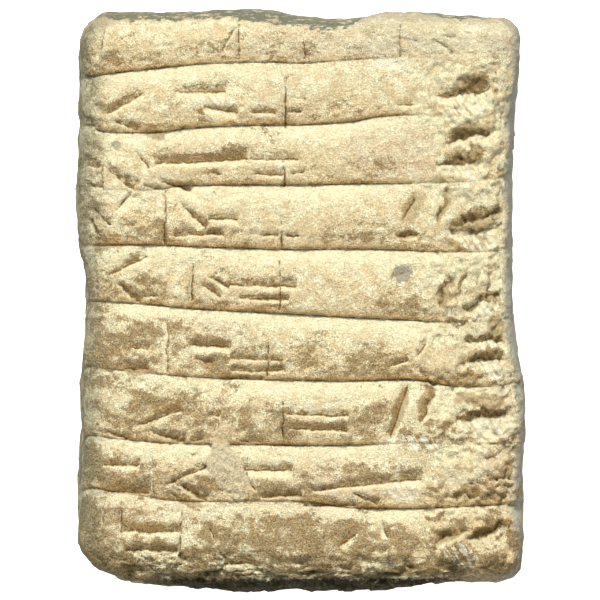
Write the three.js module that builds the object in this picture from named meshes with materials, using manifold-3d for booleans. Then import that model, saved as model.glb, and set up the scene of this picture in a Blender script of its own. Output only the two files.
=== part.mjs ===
// Clay writing tablet: a small pillow-shaped block of clay, its upper face ruled into nine rows
// that are pressed with wedge-shaped stylus strokes. It lies on its back, written face up.
//
// Millimetres. +X runs along the rows to the right, +Y towards the top edge, +Z up out of the
// written face. The origin is the middle of the bounding box's underside.

import * as THREE from 'three';
import { ConvexGeometry } from 'three/addons/geometries/ConvexGeometry.js';
import { mergeVertices } from 'three/addons/utils/BufferGeometryUtils.js';
import Module from 'manifold-3d';

const { clamp, degToRad, lerp, smoothstep } = THREE.MathUtils;

// ---- Driving dimensions ----------------------------------------------------

const width = 38.9;
const length = 50;
const frontCrown = 0.9;          // the written face rises this much from its edges to its middle
const backCrown = 2.4;
const edgeThickness = 13.9;      // between the two faces' edges, before the crowns
const sideBulge = 0.03;          // how far the sides swell at mid-thickness, as a share of the plan

const frontEdgeRound = 2.2;      // height of the rounding between a face and the sides
const backEdgeRound = 4.6;
const cornerRound = { topLeft: 2.1, topRight: 2.0, bottomLeft: 4.4, bottomRight: 1.9 };
const crownPower = 2.2;          // how flat the crowns are in the middle

// How far each side is dented in from the full width or length, at even steps along it.
const dents = {
  left: [0.6, 0.14, 0.15, 0.05, 0.15, 0.8, 0.45, 0.3, 0.25, 0.05, 0.3],
  right: [0.15, 0.4, 0.8, 0.84, 0.95, 0.93, 0.5, -0.15, 0.05, 0.05, 0.3],
  top: [0.3, 0.05, 0.1, -0.15, -0.12, 0.35, 0.45, 0.12, 0.14, 0.25, 0.45],
  bottom: [0.95, 0.4, 0.1, -0.15, -0.25, -0.07, -0.15, -0.1, 0.28, 0.55, 0.4],
};
const sideDentFall = 2;          // how fast the dents fade inwards, from the sides
const endDentFall = 12;          // and from the top and bottom edges

// Heights of the ruled lines at even steps from the left edge to the right one.
const ruledLines = [
  [19.2, 19.8, 20.25, 20.4, 20.5, 20.8, 20.85, 20.8, 20.7],
  [14.95, 14.4, 14.8, 15.0, 15.1, 15.4, 15.9, 15.8, 15.6],
  [9.6, 9.45, 9.85, 9.9, 9.9, 10.0, 10.05, 10.2, 10.6],
  [4.7, 4.75, 4.6, 4.45, 4.35, 4.4, 4.3, 4.15, 4.4],
  [-0.1, -0.35, -0.75, -1.0, -1.25, -1.5, -1.7, -1.9, -1.6],
  [-5.7, -6.2, -6.6, -6.8, -6.9, -6.95, -6.85, -7.4, -7.1],
  [-11.6, -12.1, -12.35, -12.4, -12.5, -12.45, -12.3, -12.4, -12.2],
  [-16.2, -16.8, -17.3, -17.25, -17.35, -17.85, -17.95, -17.85, -17.6],
];
const ruledStrength = [          // 1 where a line is fully pressed
  [0.8, 1, 0.8, 0.6, 0.5, 0.4, 0.1, 0, 0],
  [0.4, 0.9, 1, 0.85, 0.9, 1, 0.6, 0, 0.1],
  [0.15, 0.3, 0.9, 1, 1, 1, 0.7, 0.35, 0.4],
  [0.3, 0.9, 0.9, 1, 1, 1, 0.9, 0.6, 0.3],
  [0.4, 0.9, 1, 1, 1, 1, 1, 0.35, 0.2],
  [0.3, 0.5, 0.6, 1, 0.9, 1, 1, 0.8, 0.3],
  [0.4, 0.8, 0.9, 0.8, 1, 0.95, 0.2, 0.2, 0.2],
  [0.4, 0.7, 0.7, 0.4, 0.6, 1, 1, 0.9, 0.5],
];
const rulingDepth = 0.65;
const rulingWall = 0.3;          // the steep side, above a line
const rulingSlope = 2.6;         // the gentle side, below it
const rulingReach = [-0.2, 0.8]; // heights between which the lines come in, as shares of halfEdge
const backRulings = 3;           // lines on the back, counted from the top edge
const backRulingDepth = 0.35;

const restingCut = 0.35;         // taken off the back's crown, where the tablet lies

// ---- The lump of clay ------------------------------------------------------

const halfWidth = width / 2 / (1 + sideBulge);
const halfLength = length / 2 / (1 + sideBulge);
const halfEdge = edgeThickness / 2;

// A smooth curve through values at even steps, read at share 0..1 of its length.
function smoothAlong(values) {
  const steps = values.map((_, i) => i / (values.length - 1));
  const curve = new THREE.CubicInterpolant(steps, values, 1);
  return (share) => curve.evaluate(clamp(share, 0, 1))[0];
}

const dentAt = Object.fromEntries(
  Object.entries(dents).map(([side, values]) => [side, smoothAlong(values)]),
);
const lineHeights = ruledLines.map(smoothAlong);
const lineStrengths = ruledStrength.map(smoothAlong);

const shareAcross = (x) => (1 + x / halfWidth) / 2;
const rulingY = (k, x) => lineHeights[k](shareAcross(x));

// How deep the ruled lines lie at a place: a steep wall above each, a long slope below it.
function rulingRelief(x, y, lines) {
  let deepest = 0;
  for (let k = 0; k < lines; k++) {
    const above = y - rulingY(k, x);
    const fall = above > 0 ? smoothstep(above, 0, rulingWall) : smoothstep(-above, 0, rulingSlope);
    deepest = Math.max(deepest, (1 - fall) * lineStrengths[k](shareAcross(x)));
  }
  return deepest;
}

function plainCrown(x, y) {
  const across = 1 - Math.min(1, Math.abs(x / halfWidth)) ** crownPower;
  const along = 1 - Math.min(1, Math.abs(y / halfLength)) ** crownPower;
  return across * along;
}

function cornerRadius(p, q) {
  const left = lerp(cornerRound.bottomLeft, cornerRound.topLeft, (q + 1) / 2);
  const right = lerp(cornerRound.bottomRight, cornerRound.topRight, (q + 1) / 2);
  return lerp(left, right, (p + 1) / 2);
}

// Moves a plan position inwards where a side is dented.
function dented(x, y) {
  const fromLeft = shareAcross(x);
  const fromTop = (1 - y / halfLength) / 2;
  return [
    x + dentAt.left(fromTop) * (1 - fromLeft) ** sideDentFall - dentAt.right(fromTop) * fromLeft ** sideDentFall,
    y + dentAt.bottom(fromLeft) * fromTop ** endDentFall - dentAt.top(fromLeft) * (1 - fromTop) ** endDentFall,
  ];
}

const endPush = 0.2;             // how much of the pressing goes along the rows' heights

// Bends a point on the plain block's surface onto the clay.
function clayPoint(block) {
  const round = cornerRadius(block.x / halfWidth, block.y / halfLength);
  const radii = new THREE.Vector3(round, round, block.z > 0 ? frontEdgeRound : backEdgeRound);
  const core = new THREE.Vector3(halfWidth, halfLength, halfEdge).sub(radii);
  const inner = block.clone().clamp(core.clone().negate(), core);
  const outward = block.clone().sub(inner).divide(radii).normalize();
  const point = inner.add(outward.clone().multiply(radii));

  const swell = 1 + sideBulge * (1 - (point.z / halfEdge) ** 2);
  point.x *= swell;
  point.y *= swell;

  const front = Math.max(0, outward.z);
  const back = Math.max(0, -outward.z);
  point.z += (front * frontCrown - back * backCrown) * plainCrown(point.x, point.y);

  // The lines run over the left and right edges and die out down the sides.
  const written = smoothstep(point.z / halfEdge, ...rulingReach);
  const depth = rulingDepth * written * rulingRelief(point.x, point.y, ruledLines.length)
    + backRulingDepth * back * rulingRelief(point.x, point.y, backRulings);
  const pressed = new THREE.Vector3(outward.x, outward.y * endPush, outward.z).normalize();
  point.addScaledVector(pressed, -depth);

  [point.x, point.y] = dented(point.x, point.y);
  return point;
}

// Shares of the steps in a rounded border, in the middle, and up the sides.
const roundSteps = [0, 0.45, 1];
const middleSteps = 15;
const sideSteps = [-1, -0.78, -0.4, 0, 0.45, 0.84, 1];

// Places of the grid lines across and along the block, closer together at edges and ruled lines.
function linesAcross() {
  const reach = halfWidth - frontEdgeRound;
  const middle = Array.from({ length: middleSteps - 1 }, (_, i) => lerp(-reach, reach, (i + 1) / middleSteps));
  const border = roundSteps.map((step) => halfWidth - frontEdgeRound * step);
  return [...border.map((x) => -x), ...middle, ...border.reverse()].map((x) => () => x);
}

function linesAlong() {
  const border = roundSteps.map((step) => halfLength - frontEdgeRound * step);
  const besideRuling = [1.0, rulingWall, 0, -0.3 * rulingSlope, -rulingSlope];
  const ruled = ruledLines.flatMap((_, k) => besideRuling.map((offset) => (x) => rulingY(k, x) + offset));
  const lines = [...border.map((y) => () => y), ...ruled, ...border.reverse().map((y) => () => -y)];
  return lines.reverse();
}

const linesUp = sideSteps.map((share) => () => share * halfEdge);

function clayGeometry() {
  const across = linesAcross();
  const along = linesAlong();
  const geometry = new THREE.BoxGeometry(1, 1, 1, across.length - 1, along.length - 1, linesUp.length - 1);
  geometry.deleteAttribute('normal');
  geometry.deleteAttribute('uv');
  const place = geometry.getAttribute('position');
  const onLine = (lines, share, x) => lines[Math.round((share + 0.5) * (lines.length - 1))](x);
  for (let i = 0; i < place.count; i++) {
    const x = onLine(across, place.getX(i));
    const block = new THREE.Vector3(x, onLine(along, place.getY(i), x), onLine(linesUp, place.getZ(i)));
    place.setXYZ(i, ...clayPoint(block));
  }
  return mergeVertices(geometry, 1e-4);
}

// ---- Stylus strokes --------------------------------------------------------

// Each stroke is given by the middle of its deepest line, its length, the way its head points, how
// wide its walls are above and below that line, its depth, and its tail's width over its head's.
const stroke = (x, y, long, turn, up, down, deep, tail) => ({ x, y, long, turn, up, down, deep, tail });
const wedge = (x, y, long, turn, up = 0.9, down = 0.5, deep = 0.5) => stroke(x, y, long, turn, up, down, deep, 0.15);
const bar = (x, y, long, up = 0.8, down = 0.5, deep = 0.45) => stroke(x, y, long, -2, up, down, deep, 0.75);
const upright = (x, y, long) => stroke(x, y, long, -90, 0.25, 0.25, 0.4, 0.5);
const groove = (x, y, long, turn, up = 0.8, down = 0.6, deep = 0.5) => stroke(x, y, long, turn, up, down, deep, 0.5);
// A broad dent left where strokes crowd together and push the clay aside.
const hollow = (x, y, long, turn, up, down, deep = 0.8) => ({ x, y, long, turn, up, down, deep, broad: true });

const strokes = [
  // first row
  upright(-5.3, 22.3, 2.8), wedge(-6.3, 21.9, 2.8, 62, 0.4, 0.5, 0.3), upright(8.6, 22.3, 2.6),
  // second row
  wedge(-15.4, 16.7, 4.6, 28, 1.3, 0.7), wedge(-15.2, 15.1, 3.1, -20, 0.9, 0.5, 0.4), bar(-8.6, 17.9, 4.9, 1.0, 0.9, 0.5),
  bar(-6.8, 16.35, 3.3, 0.7, 0.9, 0.5), bar(-3.2, 16.1, 2.6, 0.9, 0.4), upright(-1.25, 17.0, 4.4),
  bar(-0.2, 16.25, 1.5, 0.5, 0.4), hollow(9.3, 16.8, 2.2, 3, 0.9, 0.7, 0.4), hollow(14.4, 17.85, 5.2, 11, 1.5, 2.3),
  // third row
  wedge(-15.7, 10.6, 4.0, -41, 1.6, 0.5), bar(-8.6, 11.9, 8.6, 1.3, 0.7, 0.6), wedge(-10.9, 9.95, 3.6, -15, 0.9, 0.4),
  bar(-2.9, 12.1, 3.0, 1.1, 0.5), bar(-2.8, 10.8, 2.4, 0.7, 0.4), upright(-1.35, 11.1, 2.7), bar(-0.3, 10.9, 1.4, 0.5, 0.3),
  hollow(14.3, 13.7, 4.8, 9, 1.6, 1.0), hollow(13.9, 11.9, 4.9, 5, 1.1, 2.0),
  // fourth row
  wedge(-17.2, 7.2, 2.6, -42, 0.5, 0.4, 0.4), wedge(-15.4, 8.2, 3.2, 50, 0.4, 1.6, 0.4), upright(-11.6, 7.1, 4.4),
  wedge(-9.4, 7.5, 4.0, -45, 0.9, 1.3, 0.6), bar(-9.6, 5.6, 3.0, 1.0, 0.4), bar(-6.7, 6.95, 2.9, 0.9, 0.6),
  bar(-7.2, 5.65, 1.6, 0.9, 0.4), bar(-3.1, 5.7, 2.6, 0.5, 0.4), upright(-1.6, 6.2, 2.6), groove(9.4, 7.9, 2.8, 62, 1.1, 0.8),
  groove(12.0, 7.9, 2.8, 72), hollow(15.4, 7.1, 5.0, 14, 1.7, 0.7), hollow(14.9, 6.1, 4.6, 3, 0.8, 2.2, 0.7),
  // fifth row
  wedge(-15.0, 2.9, 4.4, 27, 1.0, 0.6), wedge(-14.9, 0.7, 3.2, -38, 1.0, 0.5), upright(-9.2, 1.6, 3.2),
  wedge(-7.2, 1.7, 2.8, -32, 0.4, 0.6, 0.4), bar(-3.3, 1.2, 6.3, 1.1, 0.5), bar(-3.2, 0.15, 4.7, 0.6, 0.5),
  upright(-1.7, 1.35, 4.2), groove(12.5, 0.6, 3.4, 76), groove(13.9, 1.6, 2.4, 72, 0.5, 0.5, 0.4),
  hollow(15.9, -0.3, 3.9, 4, 0.9, 1.2, 0.6),
  // sixth row
  bar(-13.8, -4.15, 2.0, 0.7, 0.4), bar(-14.1, -5.9, 2.4, 0.9, 0.5), upright(-11.35, -3.9, 4.4),
  bar(-7.7, -4.0, 3.8, 0.9, 0.8, 0.5), wedge(-8.4, -5.2, 2.2, -14, 0.6, 0.4, 0.4), bar(-3.7, -5.15, 4.8, 0.7, 0.4),
  bar(-3.7, -6.1, 4.8, 0.6, 0.4), upright(-2.8, -5.0, 3.0), wedge(10.2, -4.5, 2.6, 60, 0.8, 0.5, 0.4),
  hollow(16.0, -3.4, 4.2, 5, 1.4, 1.0), hollow(15.5, -5.3, 4.4, 5, 1.1, 1.4),
  // seventh row
  wedge(-12.2, -10.2, 4.3, 20, 0.9, 0.4), wedge(-11.6, -11.6, 3.6, -18, 1.3, 0.4, 0.6), bar(-7.4, -10.0, 1.7, 0.9, 0.4),
  bar(1.5, -9.9, 5.5, 0.8, 0.4), bar(1.5, -11.15, 5.4, 0.8, 0.4), upright(-1.45, -10.35, 3.2),
  groove(8.5, -9.7, 4.8, 72, 1.0, 1.0, 0.7), groove(10.85, -9.0, 3.6, 76, 0.8, 0.8), hollow(15.9, -10.0, 4.8, 9, 1.2, 2.6, 0.9),
  // eighth row
  bar(-15.5, -14.2, 3.7, 0.8, 0.6), bar(-14.7, -16.45, 3.3, 1.3, 0.4), upright(-12.7, -15.0, 3.8),
  wedge(-9.7, -15.1, 4.5, 25, 0.9, 0.4), wedge(-9.6, -16.3, 3.6, -30, 1.1, 0.4, 0.6), bar(-2.8, -14.65, 4.6, 1.0, 1.0, 0.55),
  bar(-1.6, -16.75, 3.6, 0.9, 0.4), stroke(5.6, -15.9, 10.4, 6, 1.2, 0.7, 0.6, 0.4), bar(17.2, -15.4, 2.4, 0.9, 0.4),
  // ninth row
  bar(-12.8, -19.9, 5.3, 1.0, 0.7), bar(-12.8, -21.55, 5.2, 0.9, 0.7), upright(-10.25, -20.6, 4.8),
  wedge(-7.8, -19.7, 2.4, -58, 0.5, 0.5, 0.4), hollow(4.1, -20.7, 2.4, 38, 0.9, 0.9, 0.4),
  hollow(12.9, -20.4, 3.3, 22, 1.0, 1.4, 0.7), hollow(16.0, -20.1, 3.8, 17, 0.9, 2.3, 0.9),
];

// Strokes that spill over the left and right edges: which line they lie above, and the side.
const edgeStrokes = [[0, -1], [1, -1], [2, -1], [3, 1], [4, -1], [5, 1], [6, -1], [7, 1]];
const edgeStroke = { long: 3.4, up: 0.55, down: 0.55, deep: 0.6, tail: 0.15 };
const edgeStrokeLean = 78;       // degrees from the written face
const edgeStrokeHeight = 2.9;    // above mid-thickness
const edgeStrokeRise = 2.7;      // above that line

const cutterRise = 0.7;          // how far a cutter stands out of the face it cuts
const headWall = 0.35;           // how far the deepest point lies behind a head
const keelShare = 0.85;          // share of an untapered stroke that stays at its full depth

// A stylus corner pressed into clay: a steep head at +X, and a tail to -X that rises to the face.
function stylusCut({ long, up, down, deep, tail }) {
  const spread = (deep + cutterRise) / deep;
  const head = long / 2;
  const deepTail = -head + long * (1 - tail) * keelShare;
  const tailEnd = deepTail - (deepTail + head) * spread;
  return new ConvexGeometry([
    new THREE.Vector3(head, up * spread, cutterRise),
    new THREE.Vector3(head, -down * spread, cutterRise),
    new THREE.Vector3(tailEnd, up * tail * spread, cutterRise),
    new THREE.Vector3(tailEnd, -down * tail * spread, cutterRise),
    new THREE.Vector3(head - headWall, 0, -deep),
    new THREE.Vector3(deepTail, 0, -deep * 0.9),
  ]);
}

function broadCut({ long, up, down, deep }) {
  return new THREE.SphereGeometry(0.5, 9, 6).scale(long, up + down, 2 * deep).translate(0, (up - down) / 2, 0);
}

function solidOf(geometry, wasm) {
  const bare = geometry.clone();
  bare.deleteAttribute('normal');
  bare.deleteAttribute('uv');
  const merged = mergeVertices(bare, 1e-4);
  return new wasm.Manifold(new wasm.Mesh({
    numProp: 3,
    vertProperties: new Float32Array(merged.getAttribute('position').array),
    triVerts: new Uint32Array(merged.index.array),
  }));
}

function geometryOf(solid) {
  const mesh = solid.getMesh();
  const geometry = new THREE.BufferGeometry();
  geometry.setAttribute('position', new THREE.BufferAttribute(mesh.vertProperties, 3));
  geometry.setIndex(new THREE.BufferAttribute(mesh.triVerts, 1));
  geometry.computeVertexNormals();
  return geometry;
}

// Height of the written face at a plan position, before strokes.
function faceHeight(x, y) {
  return halfEdge + frontCrown * plainCrown(x, y) - rulingDepth * rulingRelief(x, y, ruledLines.length);
}

function strokeSolid(mark, wasm) {
  const cut = mark.broad ? broadCut(mark) : stylusCut(mark);
  cut.rotateZ(degToRad(mark.turn));
  cut.translate(mark.x, mark.y, faceHeight(mark.x, mark.y));
  return solidOf(cut, wasm);
}

function edgeSolid([line, side], wasm) {
  const x = side * halfWidth;
  const cut = stylusCut(edgeStroke);
  cut.rotateY(side * degToRad(edgeStrokeLean));
  cut.translate(...dented(x * (1 + sideBulge / 2), rulingY(line, x) + edgeStrokeRise), edgeStrokeHeight);
  return solidOf(cut, wasm);
}

// Flakes lost along the bottom edge: overlapping lumps of uneven size taken out of it.
const flakes = { count: 5, from: -8.5, to: 14.5, size: [5.2, 1.2, 2.6], uneven: 1.6, lean: -34, out: 0.5, up: 3.5 };

function flakeSolids(wasm) {
  return Array.from({ length: flakes.count }, (_, i) => {
    const uneven = Math.sin(2.6 * i + 0.8);          // sets each lump a little apart from its neighbours
    const [long, thick, high] = flakes.size;
    const lump = new THREE.IcosahedronGeometry(1, 1)
      .scale(long + flakes.uneven * uneven, thick, high + flakes.uneven * uneven / 2);
    lump.rotateX(degToRad(flakes.lean - 6 * uneven)).rotateZ(0.06 * uneven);
    const x = lerp(flakes.from, flakes.to, i / (flakes.count - 1));
    lump.translate(x, -halfLength - flakes.out + 0.15 * uneven, flakes.up);
    return solidOf(lump, wasm);
  });
}

// ---- Assembly --------------------------------------------------------------

const wasm = await Module();
wasm.setup();

let clay = solidOf(clayGeometry(), wasm);
for (const mark of strokes) {
  clay = clay.subtract(strokeSolid(mark, wasm));
}
for (const place of edgeStrokes) {
  clay = clay.subtract(edgeSolid(place, wasm));
}
for (const flake of flakeSolids(wasm)) {
  clay = clay.subtract(flake);
}

const restingHeight = -halfEdge - backCrown + restingCut;
const below = new THREE.BoxGeometry(2 * width, 2 * length, 10).translate(0, 0, restingHeight - 5);
clay = clay.subtract(solidOf(below, wasm));

const geometry = geometryOf(clay);
geometry.computeBoundingBox();
const middle = geometry.boundingBox.getCenter(new THREE.Vector3());
geometry.translate(-middle.x, -middle.y, -geometry.boundingBox.min.z);

const clayMaterial = new THREE.MeshStandardMaterial({ color: 0xd6c396, roughness: 0.95, metalness: 0 });
const tablet = new THREE.Mesh(geometry, clayMaterial);
tablet.name = 'tablet';

const group = new THREE.Group();
group.add(tablet);

export default group;
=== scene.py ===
import math

import bpy
from mathutils import Euler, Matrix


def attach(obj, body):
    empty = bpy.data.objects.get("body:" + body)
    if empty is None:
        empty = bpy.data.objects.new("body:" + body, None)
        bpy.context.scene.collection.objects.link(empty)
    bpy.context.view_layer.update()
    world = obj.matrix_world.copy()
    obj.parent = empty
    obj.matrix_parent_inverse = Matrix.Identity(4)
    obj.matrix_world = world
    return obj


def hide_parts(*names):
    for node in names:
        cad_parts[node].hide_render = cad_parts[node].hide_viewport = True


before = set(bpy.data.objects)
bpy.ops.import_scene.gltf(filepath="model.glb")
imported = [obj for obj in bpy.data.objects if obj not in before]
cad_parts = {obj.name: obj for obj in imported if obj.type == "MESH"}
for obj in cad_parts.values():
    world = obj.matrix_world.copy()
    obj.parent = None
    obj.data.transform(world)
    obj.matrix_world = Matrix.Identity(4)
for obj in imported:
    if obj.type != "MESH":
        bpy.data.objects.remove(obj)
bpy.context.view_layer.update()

mm = 0.001  # the node trees work in millimetres, the finished mesh is in metres


def socketNamed(sockets, name):
    if isinstance(name, int):
        return sockets[name]
    return next(s for s in sockets if s.enabled and name in (s.name, s.identifier))


class Wire:  # one node output; sums on it add Math nodes
    def __init__(self, board, socket):
        self.board, self.socket = board, socket

    def maths(self, operation, *values):
        return self.board.maths(operation, self, *values)

    def __add__(self, other): return self.maths("ADD", other)
    def __radd__(self, other): return self.maths("ADD", other)
    def __sub__(self, other): return self.maths("SUBTRACT", other)
    def __rsub__(self, other): return self.board.maths("SUBTRACT", other, self)
    def __mul__(self, other): return self.maths("MULTIPLY", other)
    def __rmul__(self, other): return self.maths("MULTIPLY", other)
    def __truediv__(self, other): return self.maths("DIVIDE", other)
    def __rtruediv__(self, other): return self.board.maths("DIVIDE", other, self)
    def __pow__(self, other): return self.maths("POWER", other)
    def __neg__(self): return self.maths("MULTIPLY", -1.0)
    def __abs__(self): return self.maths("ABSOLUTE")

    def other(self, name):  # another output of the same node
        return Wire(self.board, socketNamed(self.socket.node.outputs, name))

    def atLeast(self, other): return self.maths("MAXIMUM", other)
    def atMost(self, other): return self.maths("MINIMUM", other)

    def ease(self, low, high, start=0.0, end=1.0):  # smooth step from start to end as self goes low to high
        limits = {"From Min": low, "From Max": high, "To Min": start, "To Max": end}
        return self.board.node("ShaderNodeMapRange", {"interpolation_type": "SMOOTHSTEP"},
                               {"Value": self, **limits})

    def parts(self):  # x, y and z of a vector
        split = self.board.node("ShaderNodeSeparateXYZ", {}, {"Vector": self})
        return split, split.other("Y"), split.other("Z")


class Board:  # a node tree being wired
    def __init__(self, tree):
        self.tree = tree

    def node(self, kind, settings, sockets, result=None):
        made = self.tree.nodes.new(kind)
        for name, value in settings.items():
            if name == "curve":
                self.setCurve(made.mapping, value)
            else:
                setattr(made, name, value)
        for name, value in sockets.items():
            socket = socketNamed(made.inputs, name)
            if isinstance(value, Wire):
                self.tree.links.new(value.socket, socket)
            else:
                socket.default_value = value
        if not made.outputs:
            return made
        if result is None:
            return Wire(self, next(s for s in made.outputs if s.enabled))
        return Wire(self, socketNamed(made.outputs, result))

    def setCurve(self, mapping, places):
        points = mapping.curves[0].points
        while len(points) < len(places):
            points.new(0.5, 0.5)
        for point, place in zip(points, places):
            point.location, point.handle_type = place, "AUTO"
        mapping.update()

    def maths(self, operation, *values):
        return self.node("ShaderNodeMath", {"operation": operation}, dict(enumerate(values)))

    def vector(self, x, y, z):
        return self.node("ShaderNodeCombineXYZ", {}, {"X": x, "Y": y, "Z": z})

    def vectorMaths(self, operation, *values):
        return self.node("ShaderNodeVectorMath", {"operation": operation}, dict(enumerate(values)))

    def scaled(self, vector, factor):
        return self.node("ShaderNodeVectorMath", {"operation": "SCALE"}, {0: vector, "Scale": factor})

    def blend(self, factor, a, b, mode="MIX"):  # of two colours
        return self.node("ShaderNodeMix", {"data_type": "RGBA", "blend_type": mode, "clamp_result": True},
                         {"Factor": factor, "A": a, "B": b})

    def between(self, factor, a, b):  # of two numbers
        return self.node("ShaderNodeMix", {"data_type": "FLOAT"}, {"Factor": factor, "A": a, "B": b})

    def noise(self, place, scale, detail=2.0, roughness=0.5, distortion=0.0):
        return self.node("ShaderNodeTexNoise", {}, {"Vector": place, "Scale": scale, "Detail": detail,
                                                    "Roughness": roughness, "Distortion": distortion})

    def streaked(self, x, y, z, finer, longer):  # places for a noise of slanting streaks
        slantX, slantY = 0.83, 0.56
        return self.vector((x * slantX + y * slantY) * finer, (x * slantY - y * slantX) * longer, z * longer)

    def through(self, share, values):  # a smooth curve through values at even steps of share 0 to 1
        low, span = min(values), (max(values) - min(values)) or 1.0
        places = [(i / (len(values) - 1), (v - low) / span) for i, v in enumerate(values)]
        return low + span * self.node("ShaderNodeFloatCurve", {"curve": places}, {"Value": share})

    def kept(self, name, kind="FLOAT"):  # an attribute of the mesh
        return self.node("GeometryNodeInputNamedAttribute", {"data_type": kind}, {"Name": name})


def newTree(name, inputs):
    tree = bpy.data.node_groups.new(name, "GeometryNodeTree")
    tree.is_modifier = True
    board = Board(tree)
    tree.interface.new_socket("Geometry", in_out="OUTPUT", socket_type="NodeSocketGeometry")
    for label, value in inputs.items():
        kind = {int: "NodeSocketInt", float: "NodeSocketFloat"}.get(type(value), "NodeSocketObject")
        socket = tree.interface.new_socket(label, in_out="INPUT", socket_type=kind)
        if kind != "NodeSocketObject":
            socket.default_value = value
    entry = tree.nodes.new("NodeGroupInput")
    return board, {label: Wire(board, entry.outputs[label]) for label in inputs}


def runTree(name, board, inputs):  # a fresh object made by the tree, as a plain mesh
    holder = bpy.data.objects.new(name, bpy.data.meshes.new(name + " start"))
    bpy.context.scene.collection.objects.link(holder)
    modifier = holder.modifiers.new(name, "NODES")
    modifier.node_group = board.tree
    for item in board.tree.interface.items_tree:
        if item.item_type == "SOCKET" and item.in_out == "INPUT":
            modifier[item.identifier] = inputs[item.name]
    evaluated = holder.evaluated_get(bpy.context.evaluated_depsgraph_get())
    mesh = bpy.data.meshes.new_from_object(evaluated)
    holder.modifiers.remove(modifier)
    holder.data = mesh
    return holder


strokeForms = {
    "firmness": 1.2,     # of wedges and bars, on top of each one's own depth
    "wedgeTail": 0.15, "barTail": 0.75, "uprightTail": 0.6, "grooveTail": 0.5, "hollowTail": 0.35,
    "grooveBowl": 0.5, "hollowBowl": 1.0,
    "hollowUp": 1.7, "hollowDown": 1.3,  # how much wider broken hollows are than the stroke in them
}


# Each stroke has the middle of its deepest line, its length, the way its head points, the widths of the walls
# above and below that line, and its depth. tail is its width over the head's, and bowl rounds the walls.
def stroke(x, y, long, turn, up, down, deep, tail=strokeForms["wedgeTail"], bowl=0.0):
    return dict(x=x, y=y, long=long, turn=turn, up=up, down=down, deep=deep, tail=tail, bowl=bowl)


def wedge(x, y, long, turn, up, down, deep=0.6):
    return stroke(x, y, long, turn, up, down, deep * strokeForms["firmness"])


def bar(x, y, long, up=0.8, down=0.5, deep=0.5, turn=-2):
    return stroke(x, y, long, turn, up, down, deep * strokeForms["firmness"], strokeForms["barTail"])


def upright(x, y, long, right=0.22, left=0.22, deep=0.6):
    return stroke(x, y, long, -90, right, left, deep, strokeForms["uprightTail"])


def groove(x, y, long, turn, up, down, deep=0.6):
    return stroke(x, y, long, turn, up, down, deep, strokeForms["grooveTail"], strokeForms["grooveBowl"])


def hollow(x, y, long, turn, up, down, deep=0.9):
    return stroke(x, y, long, turn, up * strokeForms["hollowUp"], down * strokeForms["hollowDown"], deep,
                  strokeForms["hollowTail"], strokeForms["hollowBowl"])


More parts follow.
